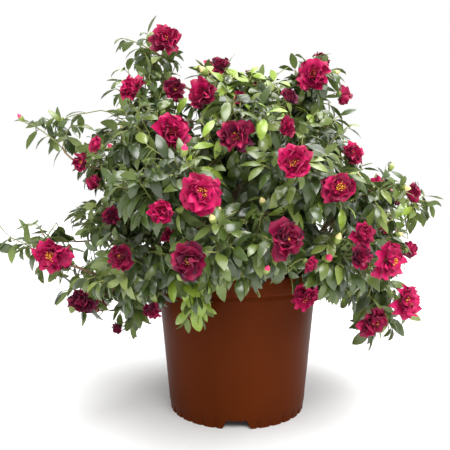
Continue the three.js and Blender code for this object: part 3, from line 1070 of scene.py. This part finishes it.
def build_pot():
    """The moulded pot: fluted and notched heel, drafted wall, faint step and rolled lip."""
    segments = FLUTES * 14
    angle = np.arange(segments) * 2 * math.pi / segments
    lip = float(pot_high[2])
    under = lip - LIP_HEIGHT
    floor = FLOOR_HEIGHT / MM
    z, out = [], []
    for height, proud in [(0.0, 0.0), (2, -0.2), (6, -0.1), (floor - 2, 0.0), (floor + 1, 0.6), (22, 0.7)]:
        z.append(height * MM)
        out.append(proud * MM)
    for height in np.linspace(30 * MM, under - 8 * MM, 12):
        z.append(height)
        out.append(0.5 * MM)
    step = [
        (under - 7 * MM, 0.5), (under - 6.2 * MM, 0.0), (under - 1.5 * MM, 0.0), (under - 0.4 * MM, -0.5),
        (under, 0.2), (under + 0.3 * MM, 1.6), (under + 1.2 * MM, 2.2), (under + 3 * MM, 2.3),
        (lip - 8 * MM, 1.7), (lip - 3 * MM, 1.5), (lip - 1.2 * MM, 1.2), (lip - 0.35 * MM, 0.6), (lip, -0.3),
    ]
    for height, proud in step:
        z.append(height)
        out.append(proud * MM)
    radii = [float(pot_radius(h)) + o for h, o in zip(z, out)]
    inner = [(lip, -1.9), (lip - 0.5 * MM, -2.6), (lip - 3 * MM, -2.7), (lip * 0.5, -2.7)]
    inner += [(FLOOR_HEIGHT + 3 * MM, -2.7)]
    for height, proud in inner:
        z.append(height)
        radii.append(float(pot_radius(height)) + proud * MM)
    z += [FLOOR_HEIGHT + WALL, FLOOR_HEIGHT + WALL]
    radii += [float(pot_radius(0)) - 6 * MM, 4 * MM]
    z += [FLOOR_HEIGHT, FLOOR_HEIGHT, FLOOR_HEIGHT - 1 * MM, 0]
    radii += [4 * MM, float(pot_radius(0)) - 5 * MM, float(pot_radius(0)) - WALL, float(pot_radius(0)) - WALL]
    z, radii = np.array(z), np.array(radii)
    lift = np.clip(1 - z / (FLOOR_HEIGHT - 0.5 * MM), 0, 1)
    heights = z[:, None] + lift[:, None] * notch_height(angle + math.pi / 2)[None]
    fluted = np.zeros(len(z))
    fluted[:5] = [1, 1, 0.8, 0.4, 0.2]
    rounds = radii[:, None] - 3.2 * MM * fluted[:, None] * flute_depth(angle)[None]
    points = np.stack([rounds * np.cos(angle), rounds * np.sin(angle), heights], -1).reshape(-1, 3)
    faces = grid_faces(len(z), segments, True)[:, ::-1]
    rows = len(z)
    first = np.arange(segments)
    following = (first + 1) % segments
    last = (rows - 1) * segments
    close = np.concatenate([
        np.stack([last + first, first, following], -1),
        np.stack([last + first, following, last + following], -1),
    ])
    piece = Piece()
    piece.add(points, np.concatenate([faces, close[:, ::-1]]), 0)
    plastic = patterned(
        "pot_plastic", (72, 28, 5), (82, 33, 7), (0.36, 0.46), 9, (1, 1, 0.5),
        bump=0.12, bump_scale=900, depth=0.0002,
    )
    shader = plastic.node_tree.nodes["Principled BSDF"]
    shader.inputs["Specular IOR Level"].default_value = POT_SPECULAR
    piece.build("nursery_pot", [plastic], "pot_plastic", ["pot"])


def build_soil():
    """The potting mix, domed and lumpy, with chips of bark on it."""
    piece = Piece()
    rings, sides = 26, 96
    edge = float(pot_radius(soil_top)) - WALL - 1.2 * MM
    share = np.linspace(0.06, 1, rings)[:, None]
    angle = (np.arange(sides) * 2 * math.pi / sides)[None]
    x, y = share * edge * np.cos(angle), share * edge * np.sin(angle)
    flat = np.stack([x, y, 0 * x], -1)
    z = soil_top - SOIL_DOME * share**2 + 1.6 * MM * waves(flat, 11 * MM, 3.0) - 1.5 * MM
    top = np.stack([x, y, z], -1).reshape(-1, 3)
    skirt = top.reshape(rings, sides, 3)[-1] * np.array([0.86, 0.86, 0]) + UP * (FLOOR_HEIGHT + WALL + 1 * MM)
    points = np.concatenate([top, skirt, [[0, 0, soil_top - 1 * MM], [0, 0, FLOOR_HEIGHT + WALL + 1 * MM]]])
    k = np.arange(sides)
    following = (k + 1) % sides
    middle = np.stack([k, following, np.full(sides, len(points) - 2)], -1)
    floor = np.stack([rings * sides + k, rings * sides + following, np.full(sides, len(points) - 1)], -1)
    wall = grid_faces(rings + 1, sides, True)[:, ::-1]
    piece.add(points, np.concatenate([wall, middle, floor]), 0)
    for _ in range(CHIPS):
        spot = rng.uniform(0, 2 * math.pi)
        away = edge * math.sqrt(rng.uniform(0.03, 0.94))
        chip, faces = blob(rng.uniform(2, 5) * MM, rng.uniform(4, 9) * MM, 6, 3)
        squash = np.array([1, rng.uniform(0.35, 0.8), 1])
        rough = 1 + 0.25 * waves(chip, 6 * MM, rng.uniform(0, 9))
        chip = chip * squash * rough[:, None]
        chip = chip @ frame_from(unit(rng.normal(0, 1, 3) * np.array([1, 1, 0.25]))).T
        height = soil_top - SOIL_DOME * (away / edge) ** 2
        piece.add(chip + np.array([away * math.cos(spot), away * math.sin(spot), height]), faces, 1)
    mix = patterned("peat", (30, 22, 17), (58, 44, 34), (0.85, 0.97), 220, bump=0.9, depth=0.002)
    chips = patterned("bark_chip", (64, 44, 30), (110, 82, 58), (0.8, 0.95), 300, bump=0.7, depth=0.001)
    piece.build("potting_mix_top", [mix, chips], "potting_mix", ["potting_mix"], smooth=False)


# ---- the studio ----
def build_studio():
    bpy.ops.mesh.primitive_plane_add(size=60, location=(0, 0, 0))
    floor = bpy.context.object
    floor.name = "floor"
    floor.data.materials.append(principled("floor_white", (222, 222, 222), 0.9, 0.1))
    world = bpy.data.worlds.new("studio")
    bpy.context.scene.world = world
    world.use_nodes = True
    nodes, links = world.node_tree.nodes, world.node_tree.links
    direction = nodes.new("ShaderNodeSeparateXYZ")
    links.new(nodes.new("ShaderNodeTexCoord").outputs["Generated"], direction.inputs["Vector"])
    brightness = nodes.new("ShaderNodeMapRange")
    brightness.interpolation_type = "SMOOTHSTEP"
    for socket, value in (("From Min", -0.6), ("From Max", 0.8), ("To Min", 0.8), ("To Max", 1.0)):
        brightness.inputs[socket].default_value = value
    links.new(direction.outputs["Y"], brightness.inputs["Value"])
    nodes["Background"].inputs["Color"].default_value = (1, 1, 1, 1)
    links.new(brightness.outputs["Result"], nodes["Background"].inputs["Strength"])
    area_light("key", (0.5, -1.7, 2.0), 1.8, 85)
    sky = bpy.data.lights.new("overhead", "SUN")
    sky.energy = 3.2
    sky.angle = math.radians(60)
    overhead = bpy.data.objects.new("overhead", sky)
    overhead.rotation_euler = (math.radians(-8), math.radians(8), 0)
    bpy.context.scene.collection.objects.link(overhead)
    bpy.context.scene.view_settings.view_transform = "Standard"


def area_light(name, place, size, power):
    light = bpy.data.lights.new(name, "AREA")
    light.shape = "DISK"
    light.size = size
    light.energy = power
    lamp = bpy.data.objects.new(name, light)
    lamp.location = place
    lamp.rotation_euler = (Vector((0, 0, 0.33)) - Vector(place)).to_track_quat("-Z", "Y").to_euler()
    bpy.context.scene.collection.objects.link(lamp)


def build_camera():
    data = bpy.data.cameras.new("camera")
    data.lens = LENS
    data.sensor_width = SENSOR
    camera = bpy.data.objects.new("camera", data)
    camera.location = CAMERA_PLACE
    level = math.cos(CAMERA_PITCH)
    ahead = Vector((-math.sin(CAMERA_YAW) * level, math.cos(CAMERA_YAW) * level, math.sin(CAMERA_PITCH)))
    camera.rotation_euler = ahead.to_track_quat("-Z", "Y").to_euler()
    bpy.context.scene.collection.objects.link(camera)
    bpy.context.scene.camera = camera


build_camera()
build_studio()
build_pot()
build_soil()
grow_plant()
